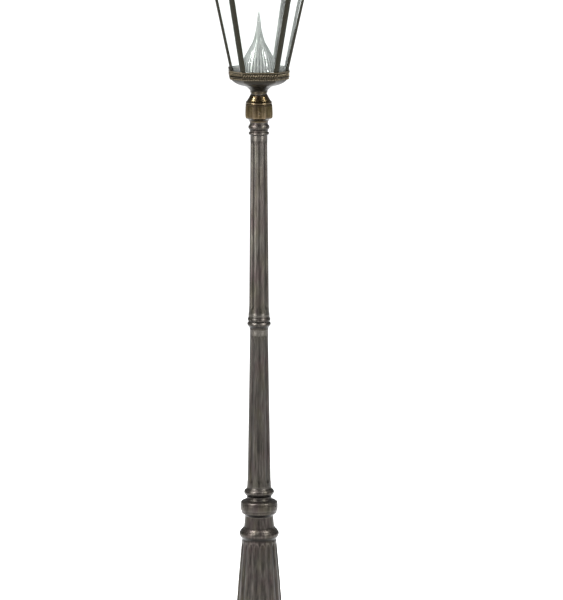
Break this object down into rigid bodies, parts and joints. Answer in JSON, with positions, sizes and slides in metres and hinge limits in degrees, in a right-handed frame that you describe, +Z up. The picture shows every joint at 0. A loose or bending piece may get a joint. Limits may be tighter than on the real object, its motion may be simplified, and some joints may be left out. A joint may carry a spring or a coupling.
{
  "type": "street lamp post",
  "caption": "A tall fluted cast column with ring mouldings that carries a cut-corner, flared glass lantern with a hinged hood over a prismatic glass cone.",
  "frame": {"origin": "on the ground, on the column's axis, in the middle of the floor flange's underside", "axes": "+Z up along the column; -Y is the lantern's front, with the hood's catch; +Y is the rear, with the access door and the hood's hinge; +X is to the right seen from the front"},
  "size_m": [0.4518, 0.4838, 3.5249],
  "materials": {
    "iron": "cast, dark pewter patina rubbed lighter on its ridges",
    "bronze": "dark antique bronze patina",
    "brass": "antique brass, brown in its hollows",
    "steel": "zinc-plated, dull",
    "rubber": "matt black",
    "white_enamel": "white enamel",
    "moulding": "black phenolic moulding",
    "glass": "clear flat glass",
    "prism_glass": "clear pressed glass, ribbed",
    "lamp_opal": "opal white envelope",
    "fuse_ceramic": "glazed ceramic tube with metal ends"
  },
  "bodies": {
    "post": {"bar_front_left": "bronze", "bar_front_right": "bronze", "bar_left_front": "bronze", "bar_left_rear": "bronze", "bar_rear_left": "bronze", "bar_rear_right": "bronze", "bar_right_front": "bronze", "bar_right_rear": "bronze", "base_casting": "iron", "base_collar": "iron", "board_strap": "steel", "capital": "iron", "catch_screw": "steel", "collar_screw_1": "steel", "collar_screw_2": "steel", "collar_screw_3": "steel", "coupling": "brass", "coupling_screw_front": "steel", "coupling_screw_rear": "steel", "cut_out_body": "moulding", "door_pintle_lower": "steel", "door_pintle_upper": "steel", "gear_board": "steel", "hinge_bracket": "steel", "hinge_pin": "steel", "lamp": "lamp_opal", "lamp_gallery": "white_enamel", "lampholder": "white_enamel", "lower_shaft": "iron", "mid_collar": "iron", "neck_gasket": "rubber", "pane_front": "glass", "pane_front_left": "glass", "pane_front_right": "glass", "pane_left": "glass", "pane_rear": "glass", "pane_rear_left": "glass", "pane_rear_right": "glass", "pane_right": "glass", "refractor": "prism_glass", "spigot": "steel", "stem": "steel", "stem_nut": "steel", "supply_cable": "rubber", "terminal_block": "moulding", "top_frame": "bronze", "tray": "bronze", "upper_shaft": "iron"},
    "door": {"access_door": "iron"},
    "door_lock": {"door_lock": "steel"},
    "fuse_carrier": {"fuse_carrier": "moulding", "fuse_link": "fuse_ceramic"},
    "hood": {"hood": "bronze", "reflector": "white_enamel", "chimney": "bronze", "vent_cap": "bronze", "finial": "bronze", "hinge_leaf": "steel", "catch_stud": "steel"},
    "hood_catch": {"hood_catch": "brass"}
  },
  "joints": [
    {"name": "door_hinge", "type": "hinge", "parent": "post", "child": "door", "pos_m": [-0.061, 0.1303, 0.28], "axis": [0, 0, 1], "range_deg": [0, 120]},
    {"name": "door_lock_turn", "type": "hinge", "parent": "door", "child": "door_lock", "pos_m": [0.0365, 0.1243, 0.28], "axis": [0, 1, 0], "range_deg": [0, 90]},
    {"name": "fuse_pull", "type": "slide", "parent": "post", "child": "fuse_carrier", "axis": [0, 1, 0], "range_m": [0, 0.025]},
    {"name": "hood_hinge", "type": "hinge", "parent": "post", "child": "hood", "pos_m": [0, 0.235, 3.1279], "axis": [-1, 0, 0], "range_deg": [0, 100]},
    {"name": "hood_catch_turn", "type": "hinge", "parent": "post", "child": "hood_catch", "pos_m": [0, -0.2268, 3.1169], "axis": [0, -1, 0], "range_deg": [0, 90]}
  ]
}
